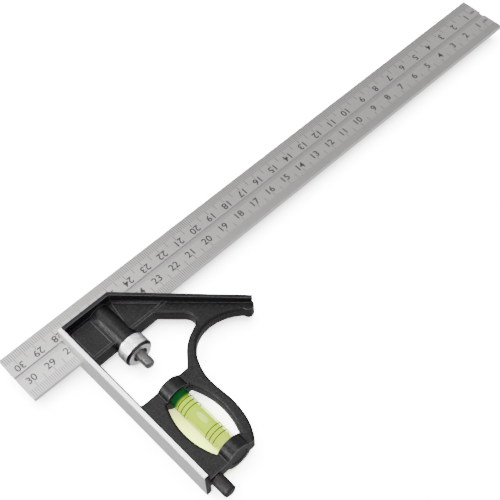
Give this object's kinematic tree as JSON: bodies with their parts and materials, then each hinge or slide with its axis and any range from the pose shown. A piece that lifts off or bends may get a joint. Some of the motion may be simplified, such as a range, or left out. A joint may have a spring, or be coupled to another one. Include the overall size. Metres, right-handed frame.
{
  "type": "combination square",
  "caption": "Sliding steel rule clamped in a cast square head with 90 and 45 degree faces, a spirit level and a push-in scriber.",
  "frame": {"origin": "inside corner of the square: where the blade's inner edge meets the 90 degree face, at the middle of the blade's thickness", "axes": "+X along the blade away from the 90 degree face, +Y across the blade towards its outer edge (the head's handle points -Y), +Z through the thickness, out of the grooved side of the blade"},
  "size_m": [0.305, 0.1116, 0.018],
  "materials": {
    "cast_head": "black baked enamel on cast zinc alloy, with bare ground rims and faces",
    "blade_steel": "satin stainless steel with dark etched graduations",
    "bolt_steel": "blackened steel",
    "spring_steel": "plain spring wire",
    "nut_steel": "nickel plated, fine knurl",
    "vial_clear": "clear acrylic tube",
    "vial_liquid": "yellow-green fluorescent spirit",
    "vial_bubble": "air bubble",
    "vial_marks": "printed dark rings",
    "vial_cap": "dark green moulded plastic",
    "soft_pad": "soft black rubber",
    "foot_plug": "black moulded plastic disc",
    "scriber_brass": "plain turned brass",
    "scriber_steel": "hardened steel, ground",
    "scriber_knob": "blackened knurled metal"
  },
  "bodies": {
    "head": {"head_casting": "cast_head", "bolt_spring": "spring_steel", "vial_seat": "soft_pad", "vial_tube": "vial_clear", "vial_rings": "vial_marks", "vial_stopper": "vial_cap", "vial_liquid": "vial_liquid", "vial_plug": "foot_plug", "scriber_sleeve": "scriber_brass"},
    "blade": {"blade": "blade_steel"},
    "bolt": {"lock_bolt": "bolt_steel"},
    "nut": {"lock_nut": "nut_steel"},
    "bubble": {"vial_bubble": "vial_bubble"},
    "scriber": {"scriber_needle": "scriber_steel", "scriber_knob": "scriber_knob"}
  },
  "joints": [
    {"name": "blade_slide", "type": "slide", "parent": "head", "child": "blade", "axis": [1, 0, 0], "range_m": [-0.253, 0.024]},
    {"name": "nut_turn", "type": "hinge", "parent": "head", "child": "nut", "pos_m": [0.02, -0.0108, 0], "axis": [0, -1, 0], "range_deg": [0, 540]},
    {"name": "bolt_draw", "type": "slide", "parent": "head", "child": "bolt", "axis": [0, 1, 0], "range_m": [0, 0.0012], "deforming": ["bolt_spring"]},
    {"name": "scriber_pull", "type": "slide", "parent": "head", "child": "scriber", "axis": [0, -1, 0], "range_m": [0, 0.042]},
    {"name": "bubble_run", "type": "slide", "parent": "head", "child": "bubble", "axis": [0, 1, 0], "range_m": [-0.006, 0.006]}
  ],
  "couplings": [
    {"joint": "bolt_draw", "follows": "nut_turn", "m_per_rad": 0.00012732}
  ]
}
